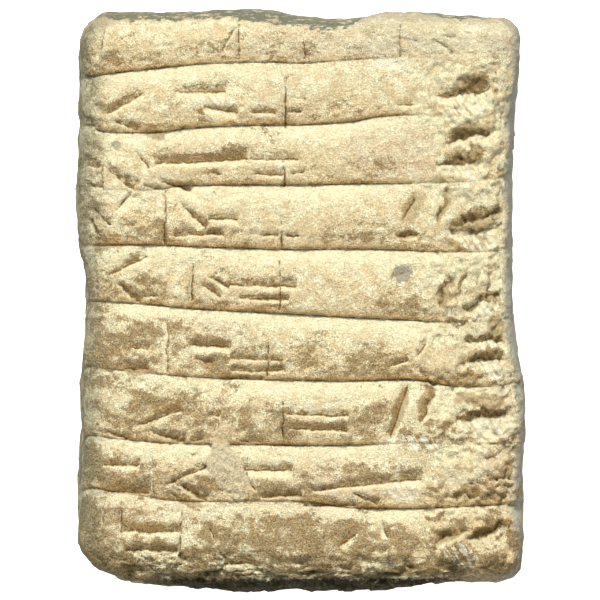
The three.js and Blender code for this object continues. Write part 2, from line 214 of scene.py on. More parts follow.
rows = [  # from the top one down
    [upright(-5.3, 22.5, 3.6), wedge(-6.3, 22.1, 3.2, 64, 0.5, 0.6, 0.3), upright(0.4, 21.5, 1.6),
     upright(8.6, 22.4, 3.0, 0.25, 0.3), bar(8.4, 22.5, 4.0, 0.2, 0.3, 0.2, -10),
     wedge(12.3, 21.9, 2.5, -31, 0.4, 0.5, 0.35), wedge(12.5, 22.7, 1.8, -12, 0.4, 0.4, 0.3),
     hollow(-16.9, 22.6, 3.2, 80, 0.9, 0.9, 0.3), bar(-13.0, 21.8, 4.0, 0.3, 0.3, 0.2, 4)],
    [wedge(-15.4, 16.7, 4.6, 28, 1.3, 0.7), wedge(-15.2, 15.1, 3.1, -20, 0.9, 0.5, 0.5),
     bar(-8.6, 17.9, 4.9, 1.0, 0.9, 0.6, 0), bar(-10.4, 17.45, 1.1, 0.2, 0.2, 0.25, 0),
     bar(-6.8, 16.35, 3.3, 0.7, 0.9, 0.6, -9), bar(-3.2, 16.1, 2.6, 0.9, 0.4), upright(-1.25, 17.0, 4.6),
     bar(-0.4, 16.2, 1.4, 0.4, 0.3, 0.4), bar(-0.1, 17.3, 1.5, 0.3, 0.4, 0.35),
     hollow(9.3, 16.8, 2.2, 3, 0.7, 0.5, 0.45), hollow(17.35, 18.4, 2.4, 88, 0.4, 0.4, 0.35),
     hollow(14.4, 17.85, 5.2, 11, 1.2, 1.9, 1.1)],
    [wedge(-13.8, 12.4, 3.0, -52, 0.5, 0.6, 0.4), wedge(-15.7, 10.6, 4.0, -41, 1.6, 0.5),
     bar(-8.6, 11.9, 8.6, 1.3, 0.7, 0.75, 3), wedge(-10.9, 9.9, 3.6, -15, 1.0, 0.4),
     wedge(-12.9, 9.7, 2.1, -14, 0.5, 0.2, 0.4), wedge(-7.4, 10.9, 1.3, -18, 0.3, 0.4, 0.4),
     bar(-2.2, 12.1, 4.6, 1.1, 0.5, 0.55, 0), bar(-2.8, 10.8, 2.8, 0.8, 0.4), upright(-1.4, 11.1, 2.9),
     bar(-0.3, 10.9, 1.4, 0.5, 0.3, 0.4), bar(-18.2, 11.5, 2.6, 1.6, 0.3),
     bar(-18.1, 9.9, 2.6, 1.2, 0.6, 0.45), upright(-17.1, 10.6, 2.2, 0.3, 0.5),
     hollow(14.3, 13.7, 4.8, 9, 1.4, 0.8, 1.0), hollow(13.9, 11.9, 4.9, 5, 0.9, 1.7, 1.0)],
    [wedge(-17.2, 7.2, 2.6, -42, 0.4, 0.3, 0.5), wedge(-18.1, 6.6, 2.8, -58, 0.7, 0.7, 0.5),
     wedge(-15.4, 8.2, 3.2, 50, 0.4, 1.8, 0.5), upright(-11.6, 7.1, 4.8),
     wedge(-9.4, 7.5, 4.0, -45, 0.9, 1.3, 0.75), bar(-9.6, 5.6, 3.1, 1.2, 0.4, 0.6, 2),
     bar(-6.7, 6.95, 2.9, 0.9, 0.6, 0.6), bar(-7.4, 5.6, 1.9, 1.0, 0.4, 0.6),
     bar(-3.1, 5.6, 2.8, 0.5, 0.4, 0.4), bar(-0.8, 5.5, 1.5, 0.5, 0.3), upright(-1.6, 6.0, 2.9),
     groove(9.4, 7.9, 2.8, 62, 1.2, 0.8, 0.5), groove(12.0, 7.9, 2.8, 72, 0.9, 0.5),
     hollow(9.2, 5.5, 2.0, 5, 0.5, 0.5, 0.6), groove(11.5, 5.4, 1.9, 84, 0.4, 0.4, 0.35),
     hollow(15.4, 7.1, 5.0, 14, 1.5, 0.5, 0.9), hollow(14.9, 6.1, 4.6, 3, 0.6, 1.9, 0.9)],
    [wedge(-15.0, 2.9, 4.4, 27, 1.0, 0.6), wedge(-14.9, 0.7, 3.2, -38, 1.0, 0.5, 0.7),
     bar(-12.8, 0.3, 1.4, 0.5, 0.3, 0.4), upright(-9.2, 1.6, 3.4, 0.2, 0.4),
     wedge(-7.2, 1.65, 2.8, -32, 0.4, 0.7, 0.5), wedge(-7.7, 0.8, 2.4, -32, 0.9, 0.4, 0.65),
     bar(-3.3, 1.2, 6.3, 1.2, 0.5, 0.6), bar(-3.2, 0.1, 4.7, 0.7, 0.5, 0.55), upright(-1.7, 1.3, 4.5),
     upright(-17.6, 1.8, 3.0, 0.4, 0.4, 0.3), hollow(8.8, 2.3, 2.0, 20, 0.8, 0.8, 0.25),
     groove(12.5, 0.6, 3.5, 76, 0.8, 0.5), groove(13.9, 1.6, 2.4, 72, 0.5, 0.5, 0.45),
     groove(15.6, 2.2, 1.8, 68, 0.4, 0.5, 0.4), hollow(16.9, 1.6, 2.6, 68, 0.5, 0.9, 0.5),
     hollow(15.4, -0.35, 3.6, 0, 0.8, 1.1, 0.65), hollow(16.8, 0.25, 2.0, 18, 0.5, 0.4, 0.8)],
    [bar(-13.8, -4.15, 2.0, 0.8, 0.4, 0.45), bar(-14.1, -5.95, 2.4, 1.0, 0.5, 0.5),
     upright(-11.35, -3.9, 4.9, 0.3, 1.1, 0.45), bar(-7.7, -4.0, 3.8, 0.9, 0.8, 0.65, -4),
     wedge(-8.4, -5.2, 2.2, -14, 0.7, 0.3), bar(-3.7, -5.15, 4.8, 0.8, 0.3, 0.45),
     bar(-3.7, -6.1, 4.8, 0.7, 0.3, 0.5, 0), bar(-4.7, -6.75, 3.2, 0.4, 0.2, 0.35, 0),
     upright(-2.8, -5.0, 3.2), wedge(8.4, -5.5, 2.4, 20, 0.7, 0.5, 0.4),
     wedge(10.2, -4.5, 2.6, 60, 0.9, 0.5, 0.4), stroke(10.9, -6.6, 1.9, -48, 0.2, 0.2, 0.5, 0.6),
     hollow(16.0, -3.4, 4.2, 5, 1.2, 0.8), hollow(15.5, -5.3, 4.4, 5, 0.9, 1.1),
     groove(17.0, -5.7, 1.8, -70, 0.4, 0.5, 0.4)],
    [wedge(-12.2, -10.2, 4.3, 20, 0.9, 0.4, 0.55), wedge(-11.6, -11.7, 3.8, -19, 1.4, 0.4, 0.85),
     bar(-8.9, -12.1, 1.3, 0.8, 0.2, 0.5), bar(-7.4, -10.0, 1.7, 0.9, 0.3),
     wedge(-16.1, -11.6, 3.4, -12, 0.6, 0.3, 0.45), bar(-4.3, -12.2, 2.2, 0.5, 0.1, 0.35),
     bar(1.5, -9.9, 5.5, 0.8, 0.4, 0.5), bar(1.5, -11.15, 5.4, 0.9, 0.4, 0.55), upright(-1.5, -10.3, 3.4),
     groove(8.5, -9.7, 5.2, 72, 1.3, 1.1, 0.75), groove(10.85, -9.0, 3.8, 76, 1.0, 0.9, 0.65),
     hollow(12.5, -11.7, 0.9, 0, 0.4, 0.4, 0.3), hollow(14.4, -12.35, 1.9, 0, 0.4, 0.2, 0.3),
     hollow(15.9, -10.0, 4.8, 9, 0.9, 2.2, 1.1)],
    [bar(-15.5, -14.2, 3.7, 0.8, 0.6, 0.5), bar(-14.6, -16.6, 3.5, 1.5, 0.3, 0.6),
     upright(-12.7, -15.1, 4.2, 0.2, 0.3, 0.35), wedge(-9.7, -15.1, 4.5, 25, 0.9, 0.4),
     wedge(-9.6, -16.4, 3.8, -31, 1.2, 0.4, 0.8), wedge(-11.0, -16.7, 1.4, -42, 0.3, 0.3, 0.4),
     groove(-4.7, -14.7, 4.0, -64, 0.4, 0.3, 0.4), bar(-2.8, -14.65, 4.6, 1.0, 1.0, 0.7, 0),
     bar(-1.6, -16.9, 3.7, 1.0, 0.3, 0.6, 3), stroke(5.6, -15.9, 10.4, 6, 1.2, 0.7, 0.75, 0.4),
     bar(2.5, -17.7, 4.8, 0.6, 0.2, 0.45, 0), wedge(5.4, -17.0, 3.1, -24, 0.9, 0.3, 0.5),
     bar(14.5, -16.75, 2.0, 0.8, 0.2, 0.45, 2), bar(17.4, -15.4, 2.4, 0.9, 0.4, 0.5, 4),
     bar(17.2, -16.4, 2.6, 0.3, 0.3, 0.35, 2)],
    [upright(-15.4, -18.9, 2.2, 0.3, 0.3), bar(-12.8, -19.9, 5.3, 1.0, 0.7, 0.55),
     bar(-12.8, -21.6, 5.2, 1.0, 0.7, 0.6), upright(-10.3, -20.6, 5.2),
     wedge(-7.8, -19.7, 2.4, -58, 0.5, 0.4, 0.4), upright(-6.8, -22.3, 2.0, 0.4, 0.4),
     upright(-18.0, -19.2, 2.2, 0.5, 0.5, 0.3), upright(-17.1, -18.2, 2.6, 0.4, 0.4, 0.3),
     hollow(-14.0, -23.8, 2.8, -8, 0.7, 0.6, 0.6), hollow(-7.6, -23.8, 2.6, 6, 0.7, 0.5, 0.6),
     hollow(-5.2, -22.8, 3.6, 0, 1.1, 0.5, 0.45), hollow(4.1, -20.7, 2.4, 38, 0.7, 0.7, 0.5),
     hollow(7.3, -19.8, 1.9, -70, 0.5, 0.6, 0.5), bar(6.6, -21.6, 1.8, 0.6, 0.4, 0.35, 4),
     hollow(7.8, -23.5, 4.2, 9, 0.9, 0.6, 0.7), hollow(1.0, -23.8, 3.4, 14, 0.6, 0.5, 0.6),
     hollow(12.9, -20.4, 3.3, 22, 0.8, 1.1, 0.8), hollow(16.2, -20.1, 3.8, 17, 0.7, 1.9, 1.1),
     hollow(12.8, -23.2, 1.4, 0, 0.5, 0.5, 0.4)],
]
rowCount = len(rows)


def loosePoints(name, marks, layout):  # one loose vertex for each mark, with what shapes it
    mesh = bpy.data.meshes.new(name)
    mesh.from_pydata([(0, 0, 0)] * len(marks), [], [])
    for label, keys in layout.items():
        values = mesh.attributes.new(label, "FLOAT_VECTOR", "POINT")
        values.data.foreach_set("vector", [mark[key] for mark in marks for key in keys])
    points = bpy.data.objects.new(name, mesh)
    bpy.context.scene.collection.objects.link(points)
    return points


clay = {  # millimetres, unless a note says otherwise
    "Width": 38.7, "Length": 50.0, "Edge Thickness": 13.9,
    "Front Crown": 0.9, "Back Crown": 2.4,
    "Crown Power": 2.2,     # how flat the crowns are in the middle
    "Side Bulge": 0.03,     # as a share of the plan
    "Front Round": 2.2, "Back Round": 4.6,
    "End Dent Fall": 12.0,  # how fast the dents of the top and bottom edges fade inwards
    "Ruling Depth": 0.65, "Ruling Wall": 0.15, "Ruling Slope": 3.0, "Shoulder": 2.3,
    "Ruling Start": -0.2, "Ruling Full": 0.8,  # where the lines come in on the sides, as shares of halfEdge
    "Resting Cut": 0.35,    # taken off the back's crown, where the tablet lies
    "Lift": 0.03,           # keeps the thinned back off the floor
    "Lines Across": 250, "Lines Per Row": 35, "Lines Down": 24,
    "Crowding Up": 1.4, "Crowding At Lines": 0.3,  # how much closer the grid is near the face and the lines
    "Strokes": None, "Stains": None, "Shades": None, "Pale Parts": None,
}
cornerRound = {"topLeft": 2.1, "topRight": 2.0, "bottomLeft": 4.4, "bottomRight": 1.9}
dents = {  # of each side, from one end to the other
    "left": [0.6, 0.14, 0.15, 0.05, 0.15, 0.8, 0.45, 0.3, 0.25, 0.05, 0.3],
    "right": [0.15, 0.4, 0.8, 0.84, 0.95, 0.93, 0.5, -0.15, 0.05, 0.05, 0.3],
    "top": [0.3, 0.05, 0.1, -0.15, -0.12, 0.35, 0.45, 0.12, 0.14, 0.25, 0.45],
    "bottom": [0.95, 0.4, 0.1, -0.15, -0.25, -0.07, -0.15, -0.1, 0.28, 0.55, 0.4],
}
ruledLines = [  # heights from the left edge to the right one
    [19.2, 19.8, 20.25, 20.4, 20.5, 20.85, 20.9, 21.2, 21.6],
    [14.95, 14.4, 14.8, 15.0, 15.1, 15.4, 15.95, 15.8, 15.6],
    [9.6, 9.45, 9.85, 9.9, 9.9, 10.0, 10.05, 10.2, 10.6],
    [4.7, 4.75, 4.6, 4.45, 4.35, 4.4, 4.3, 4.15, 4.4],
    [-0.1, -0.35, -0.75, -1.0, -1.25, -1.5, -1.7, -1.9, -1.6],
    [-5.7, -6.2, -6.6, -6.8, -6.9, -6.95, -6.85, -7.45, -7.1],
    [-11.6, -12.1, -12.35, -12.4, -12.5, -12.45, -12.3, -12.4, -12.2],
    [-16.2, -16.8, -17.3, -17.25, -17.35, -17.85, -17.95, -17.85, -17.6],
]
ruledStrength = [  # 1 where the line is fully pressed
    [0.8, 1, 0.8, 0.6, 0.5, 0.4, 0.1, 0, 0],
    [0.4, 0.9, 1, 0.85, 0.9, 1, 0.6, 0, 0.1],
    [0.15, 0.3, 0.9, 1, 1, 1, 0.7, 0.35, 0.4],
    [0.3, 0.9, 0.9, 1, 1, 1, 0.9, 0.6, 0.3],
    [0.4, 0.9, 1, 1, 1, 1, 1, 0.35, 0.2],
    [0.3, 0.5, 0.6, 1, 0.9, 1, 1, 0.8, 0.3],
    [0.4, 0.8, 0.9, 0.8, 1, 0.95, 0.2, 0.2, 0.2],
    [0.4, 0.7, 0.7, 0.4, 0.6, 1, 1, 0.9, 0.5],
]


def patch(x, y, long, wide, turn=0):  # an oval part of the face
    return dict(x=x, y=y, long=long, wide=wide, turn=turn)


mended = patch(-6.3, -14.5, 5.6, 3.0, -70)  # gritty filling
stains = [  # where the brown skin has stayed; those at the lower right, where the face curves down, are partly painted shade
    patch(3.4, 22.6, 4.4, 2.0, -38), patch(6.1, 23.3, 2.2, 2.4), patch(15.4, 20.5, 4.4, 2.4, -18),
    patch(-13.4, 6.6, 4.6, 4.0, 20), patch(8.2, 7.6, 3.4, 2.8, 62), patch(-3.0, 2.4, 9.0, 1.8, -3),
    patch(4.8, -4.6, 9.0, 2.6, -5), patch(-11.5, -8.7, 8.0, 2.4, -8), patch(0.0, -20.0, 11.0, 3.6, -6),
    patch(9.5, 0.0, 4.5, 2.4, -12), patch(6.0, 6.0, 4.0, 2.0, -20), patch(-13.5, -9.2, 4.0, 2.0, 10),
    patch(-16.4, -16.0, 3.0, 1.6), patch(5.5, -9.5, 4.0, 2.6, -60), patch(5.5, -5.4, 13.0, 3.4, -4),
    patch(5.5, -11.2, 9.0, 3.0), patch(5.0, -20.8, 12.0, 3.6), patch(9.2, 0.0, 7.0, 3.2, -10),
    patch(6.5, 5.8, 10.0, 2.6, -5), patch(5.5, 11.2, 10.0, 2.4, 4), patch(5.5, -14.6, 10.0, 1.6, 4),
    patch(13.0, -10.5, 6.0, 5.0), patch(7.0, -10.2, 6.0, 5.0), patch(-2.6, -10.4, 6.0, 4.4),
    patch(14.5, -20.0, 9.0, 6.0), patch(12.8, -0.5, 5.0, 4.0), patch(-16.0, -5.0, 6.0, 8.0),
    patch(-12.0, -3.0, 8.0, 4.0), patch(1.5, -4.5, 6.0, 4.0), patch(-9.0, 12.7, 10.5, 1.8, 2),
    patch(-8.6, 18.7, 5.0, 1.2), patch(9.5, -7.2, 9.0, 3.4), patch(17.4, -21.5, 5.0, 7.0),
    patch(-17.0, -23.6, 6.0, 4.0),
]
shades = [  # broken, crusted clay above the hollows, darkened further as painted shade
    patch(14.7, 18.6, 4.4, 1.4, 15), patch(14.6, 14.5, 5.0, 1.9, 12), patch(14.2, 12.3, 4.4, 1.2, 8),
    patch(9.6, 7.9, 3.2, 1.8, 60), patch(12.1, 8.0, 3.4, 1.0, 72), patch(15.6, 7.3, 5.4, 2.0, 14),
    patch(9.3, 5.6, 2.0, 0.9, 10), patch(13.2, 4.6, 2.6, 0.9, -12), patch(12.6, 0.6, 3.2, 0.8, 76),
    patch(13.8, 1.7, 2.6, 0.7, 72), patch(16.5, 0.2, 3.0, 1.2, 18), patch(16.8, -2.5, 3.4, 1.6, 10),
    patch(15.6, -4.6, 4.0, 1.2, 5), patch(14.4, -6.6, 2.4, 0.9), patch(8.5, -9.6, 5.2, 1.3, 72),
    patch(10.7, -8.5, 3.0, 1.2, 72), patch(15.5, -8.6, 5.4, 1.5, 5), patch(15.2, -9.9, 4.0, 0.8, 18),
    patch(17.9, -14.3, 2.6, 1.4, 60), patch(14.6, -16.4, 2.2, 0.9, 8), patch(12.8, -20.4, 3.6, 1.1, 22),
    patch(16.5, -19.8, 4.2, 1.3, 20), patch(9.5, -23.3, 6.0, 1.5, 6), patch(13.0, -23.0, 1.8, 0.9),
    patch(-12.9, 14.5, 3.4, 1.2, -30), patch(-16.8, 4.9, 3.4, 1.4, 20), patch(-13.6, -6.1, 3.0, 1.0, 5),
    patch(-7.8, -5.6, 2.0, 1.0), patch(-11.4, -9.2, 3.6, 1.2, 10), patch(-9.7, -17.3, 3.4, 1.0, -20),
    patch(-15.6, -16.0, 3.4, 1.2, 10), patch(-12.8, -19.4, 4.6, 0.9),
]
paleParts = [  # rubbed, streaky slopes below them
    patch(14.6, 16.7, 4.4, 2.0, -8), patch(14.6, 10.9, 4.4, 1.6, -10), patch(15.2, 5.2, 5.0, 1.8, -12),
    patch(15.8, -11.0, 4.4, 2.0, -14), patch(10.0, -12.3, 5.4, 1.5, -5), patch(13.6, -21.9, 3.4, 1.8, -20),
    patch(16.2, -6.0, 3.6, 1.6, -10), patch(16.0, -3.9, 3.4, 0.8), patch(16.2, -1.2, 3.6, 0.9, 10),
    patch(9.0, -16.5, 3.6, 1.6, -5), patch(-7.6, 17.2, 5.0, 0.9),
]


def inPatch(u, v, area):  # 1 at its middle, 0 at its rim, less outside
    angle = math.radians(area["turn"])
    across, up = u - area["x"], v - area["y"]
    along = (across * math.cos(angle) + up * math.sin(angle)) * (2 / area["long"])
    aside = (up * math.cos(angle) - across * math.sin(angle)) * (2 / area["wide"])
    return 1 - (along * along + aside * aside)


def eachPoint(board, geometry, points, step):  # runs the step on the geometry once for each loose vertex
    entry = board.tree.nodes.new("GeometryNodeRepeatInput")
    leave = board.tree.nodes.new("GeometryNodeRepeatOutput")
    entry.pair_with_output(leave)
    points = board.node("GeometryNodeObjectInfo", {}, {"Object": points}, "Geometry")
    count = board.node("GeometryNodeAttributeDomainSize", {}, {"Geometry": points}, "Point Count")
    board.tree.links.new(count.socket, entry.inputs["Iterations"])
    board.tree.links.new(geometry.socket, entry.inputs["Geometry"])
    number = Wire(board, entry.outputs["Iteration"])

    def now(name):
        return board.node("GeometryNodeSampleIndex", {"data_type": "FLOAT_VECTOR"},
                          {"Geometry": points, "Value": board.kept(name, "FLOAT_VECTOR"),
                           "Index": number}).parts()

    made = step(board, Wire(board, entry.outputs["Geometry"]), now)
    board.tree.links.new(made.socket, leave.inputs["Geometry"])
    return Wire(board, leave.outputs["Geometry"])


def keep(board, geometry, values):  # on the mesh, for the material and for later nodes
    for name, value in values.items():
        geometry = board.node("GeometryNodeStoreNamedAttribute", {"data_type": "FLOAT", "domain": "POINT"},
                              {"Geometry": geometry, "Name": name, "Value": value})
    return geometry


def turned(board, x, y, turn):  # distances along and beside a line through x, y
    u, v = board.kept("u") - x, board.kept("v") - y
    cosine, sine = (turn * math.radians(1)).maths("COSINE"), (turn * math.radians(1)).maths("SINE")
    return u * cosine + v * sine, v * cosine - u * sine


def spreading(name):
    def step(board, made, now):  # 1 in the middle of a patch, 0 at its rim
        along, aside = turned(board, *now("place"))
        long, wide, _ = now("size")
        along, aside = along * 2 / long, aside * 2 / wide
        return keep(board, made, {name: board.kept(name).atLeast(1 - along * along - aside * aside)})
    return step


press = {
    "keelRound": 0.06, "endRound": 0.1,   # how softly a stroke's walls and ends meet
    "wallPower": 1.3, "bowlPower": 0.6, "tailDepth": 0.65, "headLength": 0.25,
    "ripple": 0.02, "ripplesPerTurn": 15,  # fine marks that the reed's grain leaves along the walls
    "overlap": 0.03,                      # how softly one stroke runs into another
}


def pressing(board, made, now):
    along, aside = turned(board, *now("place"))
    long, up, down = now("size")
    deep, tail, bowl = now("form")
    share = (along / long + 0.5).atLeast(0).atMost(1)  # 0 at the tail, 1 at the head
    spread = board.between(share ** 0.8, tail, 1.0)
    above, below = 1 - aside / (up * spread), 1 + aside / (down * spread)
    walls = above.maths("SMOOTH_MIN", below, press["keelRound"]).atLeast(0)
    wide = up + down
    tailEnd = share * long / (wide * (1.05 - tail))
    headEnd = (1 - share) * long / (wide * press["headLength"])
    ends = tailEnd.maths("SMOOTH_MIN", headEnd, press["endRound"])
    wedged = walls.maths("SMOOTH_MIN", ends, press["endRound"]).atMost(1).atLeast(0) ** press["wallPower"]
    wedged = wedged * (press["tailDepth"] + (1 - press["tailDepth"]) * share)
    middle = 2 * share - 1
    dished = walls ** aside.ease(-0.1, 0.1, 1.0, 1.6)  # steeper above the deepest line
    dished = dished * (1 - middle * middle).atLeast(0) ** press["bowlPower"]
    depth = board.between(bowl, wedged * 0.85, dished * board.kept("bite")) * board.kept("reach")
    ripple = (aside * press["ripplesPerTurn"]).maths("SINE") * depth.ease(0.3, 0.6) * press["ripple"]
    pressed = board.kept("pressed")
    deeper = (depth * deep).maths("GREATER_THAN", pressed + 0.005)
    made = keep(board, made, {"gap": board.between(deeper, board.kept("gap"), aside)})
    depth = depth * deep + ripple
    return keep(board, made, {"pressed": pressed.maths("SMOOTH_MAX", depth, press["overlap"])})


# Parts of the tablet: the axis that each is measured along, where it starts, and where it is at its fullest.
zones = {
    "brokenRight": ("x", 9.0, 13.5), "belowTopRow": ("y", 22.0, 19.5), "brokenBottom": ("y", -20.0, -22.5),
    "brokenLeft": ("x", -15.5, -18.0), "leftHalf": ("x", 2.0, -10.0),
    "flakedEdge": ("y", -22.2, -23.8), "flakedAcross": ("x", 17.0, 13.0),
    "skinLeft": ("x", 8.0, -16.0), "skinLeftEdge": ("x", -15.5, -18.5), "skinBottom": ("y", -17.5, -20.0),
    "skinLowerHalf": ("y", 1.0, -8.0), "cleanFrom": ("y", 3.0, 8.0), "cleanTo": ("y", 21.0, 18.0),
    "skinUnder": ("z", 10.0, 5.0), "skinRight": ("x", -5.0, 5.0),
    "tanRight": ("x", 8.0, 15.0), "tanBottom": ("y", -15.0, -20.0),
    "rightSide": ("x", 16.5, 18.0), "leftSide": ("x", -15.0, -17.0), "topRim": ("y", 22.5, 24.0),
    "layered": ("y", -20.3, -22.3), "lichen": ("x", -16.0, -18.2),
    "smoothAcross": ("x", 0.5, 4.0), "smoothUp": ("y", 20.4, 21.6),
    # where the lower end's painted shade lies
    "stainEnd": ("y", -23.7, -24.2), "stainLeft": ("x", -15.0, -10.0), "stainRight": ("x", 16.0, 11.0),
    "stainDown": ("z", 4.5, 9.0),
}


def zonesAt(x, y, z):
    def zone(name, wander=None):  # its strength at a place, 0 to 1; wander makes its limits uneven
        axis, start, full = zones[name]
        value = {"x": x, "y": y, "z": z}[axis]
        return (value if wander is None else value + wander).ease(start, full)
    return zone


# A noise's scale, detail, roughness and distortion, its height in sound clay, and what broken clay adds.
relief = {
    "lumps": (0.16, 2.0, 0.5, 0.0, 0.9, 0.0), "knobs": (0.75, 3.0, 0.5, 0.0, 0.4, 0.9),
    "grain": (2.4, 3.0, 0.6, 0.0, 0.34, 0.2), "chunks": (1.5, 3.0, 0.6, 0.5, 0.1, 0.9),
    "jags": (2.6, 2.0, 0.5, 0.0, 0.3, 0.6),
}
cuts = {
    "ragged": 0.5,    # how much the ruled lines' depth varies
    "pits": 0.18, "flakes": 0.45, "filling": -0.1,
    "stripes": 0.15, "brokenStripes": 0.5, "paleStripes": 0.25,  # fine slanting marks
    "overEdge": 0.8,  # how straight strokes run on down the sides
}


def clayTree(material):
    board, given = newTree("clay tablet", clay)
    node = board.node

    halfWidth = given["Width"] / 2 / (1 + given["Side Bulge"])
    halfLength = given["Length"] / 2 / (1 + given["Side Bulge"])
    halfEdge = given["Edge Thickness"] / 2

    linesUp = given["Lines Per Row"] * rowCount + 1
    grid = node("GeometryNodeMeshCube", {}, {
        "Size": (2, 2, 2), "Vertices X": given["Lines Across"], "Vertices Y": linesUp,
        "Vertices Z": given["Lines Down"]}, "Mesh")
    px, py, pz = node("GeometryNodeInputPosition", {}, {}).parts()

    # where each grid point lies on a plain block; the grid is finer near the face and at the ruled lines
    down = ((1 - pz) / 2) ** given["Crowding Up"] * halfEdge * 2
    blockX, blockZ = px * halfWidth, halfEdge - down
    evenRow = (1 - py) * (rowCount / 2)
    rowNumber = (evenRow + 0.0001).maths("FLOOR").atMost(rowCount - 1)
    part = evenRow - rowNumber
    row = rowNumber + part - given["Crowding At Lines"] / math.tau * (part * math.tau).maths("SINE")
    share = (px + 1) / 2
    lines = [halfLength] + [board.through(share, values) for values in ruledLines] + [-halfLength]
    strengths = [board.through(share, values) for values in ruledStrength]

    def chosen(values, number):
        return sum(value * number.maths("COMPARE", float(k), 0.5) for k, value in values)

    lineAbove = chosen(list(enumerate(lines)), rowNumber)
    lineBelow = chosen(list(enumerate(lines)), rowNumber + 1)
    blockY = lineAbove - (row - rowNumber) * (lineAbove - lineBelow)
    aboveStrength = chosen(list(enumerate(strengths, 1)), rowNumber)
    belowStrength = chosen(list(enumerate(strengths, 1)), rowNumber + 1)

    # rounded edges and corners
    p, q = blockX / halfWidth, blockY / halfLength
    leftRound = board.between((q + 1) / 2, cornerRound["bottomLeft"], cornerRound["topLeft"])
    rightRound = board.between((q + 1) / 2, cornerRound["bottomRight"], cornerRound["topRight"])
    sideRound = board.between((p + 1) / 2, leftRound, rightRound)
    isFront = blockZ.maths("GREATER_THAN", 0.0)
    upRound = board.between(isFront, given["Back Round"], given["Front Round"])

    def inner(value, half, radius):
        return value.atMost(half - radius).atLeast(radius - half)

    rounds = [(blockX, halfWidth, sideRound), (blockY, halfLength, sideRound), (blockZ, halfEdge, upRound)]
    core = [inner(*entry) for entry in rounds]
    outward = board.vectorMaths("NORMALIZE", board.vector(
        *[(value - middle) / radius for middle, (value, _, radius) in zip(core, rounds)]))
    nx, ny, nz = outward.parts()
    x, y, z = [middle + n * radius for middle, n, (_, _, radius) in zip(core, (nx, ny, nz), rounds)]

    swell = 1 + given["Side Bulge"] * (1 - (z / halfEdge) * (z / halfEdge))
    x, y = x * swell, y * swell
    front, back = nz.atLeast(0), (-nz).atLeast(0)
    crownX = 1 - (abs(x) / halfWidth).atMost(1) ** given["Crown Power"]
    crownY = 1 - (abs(y) / halfLength).atMost(1) ** given["Crown Power"]
    z = z + (front * given["Front Crown"] - back * given["Back Crown"]) * crownX * crownY

    # the dented outline
    fromLeft, fromTop = (x / halfWidth + 1) / 2, (1 - y / halfLength) / 2
    leftDent = board.through(fromTop, dents["left"]) * (1 - fromLeft) * (1 - fromLeft)
    rightDent = board.through(fromTop, dents["right"]) * fromLeft * fromLeft
    topDent = board.through(fromLeft, dents["top"]) * (1 - fromTop).atLeast(0) ** given["End Dent Fall"]
    bottomDent = board.through(fromLeft, dents["bottom"]) * fromTop.atLeast(0) ** given["End Dent Fall"]
    x, y = x + leftDent - rightDent, y + bottomDent - topDent
    place = board.vector(x, y, z)
    zone = zonesAt(x, y, z)

    # ruled lines: a steep wall above each, a long slope below it
    written = z.ease(halfEdge * given["Ruling Start"], halfEdge * given["Ruling Full"])
    ragged = 1 - cuts["ragged"] / 2 + cuts["ragged"] * board.noise(place, 0.7, 3.0)
    below = (1 - (lineAbove - blockY) / given["Ruling Slope"]).atLeast(0) ** 2.0 * aboveStrength
    above = (1 - (blockY - lineBelow) / given["Ruling Wall"]).atLeast(0) * belowStrength
    shoulder = (1 - (blockY - lineBelow) / given["Shoulder"]).atLeast(0) ** 2.0 * belowStrength
    ruled = below.atLeast(above).atLeast(shoulder * 0.5) * given["Ruling Depth"] * written * ragged

    # how broken the clay is, and where a place lies in its row
    broken = (zone("brokenRight") * zone("belowTopRow")).atLeast(zone("brokenBottom") * 0.7)
    broken = broken.atLeast(zone("brokenLeft") * 0.5).atLeast(zone("leftHalf") * 0.12) * written * front
    low = (blockY - lineBelow).ease(4.4, 0.8) * belowStrength
    high = (lineAbove - blockY).ease(2.0, 0.3) * aboveStrength

    def uneven(kind, broken):
        *noise, sound, more = relief[kind]
        return (board.noise(place, *noise) - 0.5) * (sound + more * broken)

    # strokes run on over the edges, and none is quite straight
    onSide = abs(px).maths("GREATER_THAN", 0.9999) * cuts["overEdge"]
    onEnd = abs(py).maths("GREATER_THAN", 0.9999) * cuts["overEdge"]
    sway = board.noise(place, 0.8, 3.0, 0.6) - 0.5
    swing = board.noise(place, 0.9, 3.0, 0.6, 0.4) - 0.5
    warp = node("ShaderNodeTexNoise", {}, {"Vector": place, "Scale": 0.4, "Detail": 1.0}, "Color")
    warpX, warpY, _ = board.vectorMaths("SUBTRACT", warp, (0.5, 0.5, 0.5)).parts()
    jags, wander, bend = uneven("jags", broken), 0.4 + 0.5 * broken, 2.2 * broken
    u = x + px.maths("SIGN") * down * onSide + sway * wander + warpX * bend + jags
    v = y + py.maths("SIGN") * down * onEnd + swing * wander + warpY * bend + jags
    bite = board.noise(place, 0.55, 3.0, 0.6).ease(0.3, 0.6, 0.45, 1.1)
    reach = blockZ.ease(-3.0, 2.0)

    worked = keep(board, grid, {"u": u, "v": v, "reach": reach, "bite": bite, "pressed": 0.0, "gap": 0.0,
                                "stain": -1.0, "shade": -1.0, "pale": -1.0})
    worked = eachPoint(board, worked, given["Strokes"], pressing)
    for label, name in {"Stains": "stain", "Shades": "shade", "Pale Parts": "pale"}.items():
        worked = eachPoint(board, worked, given[label], spreading(name))
    pressed = board.kept("pressed")

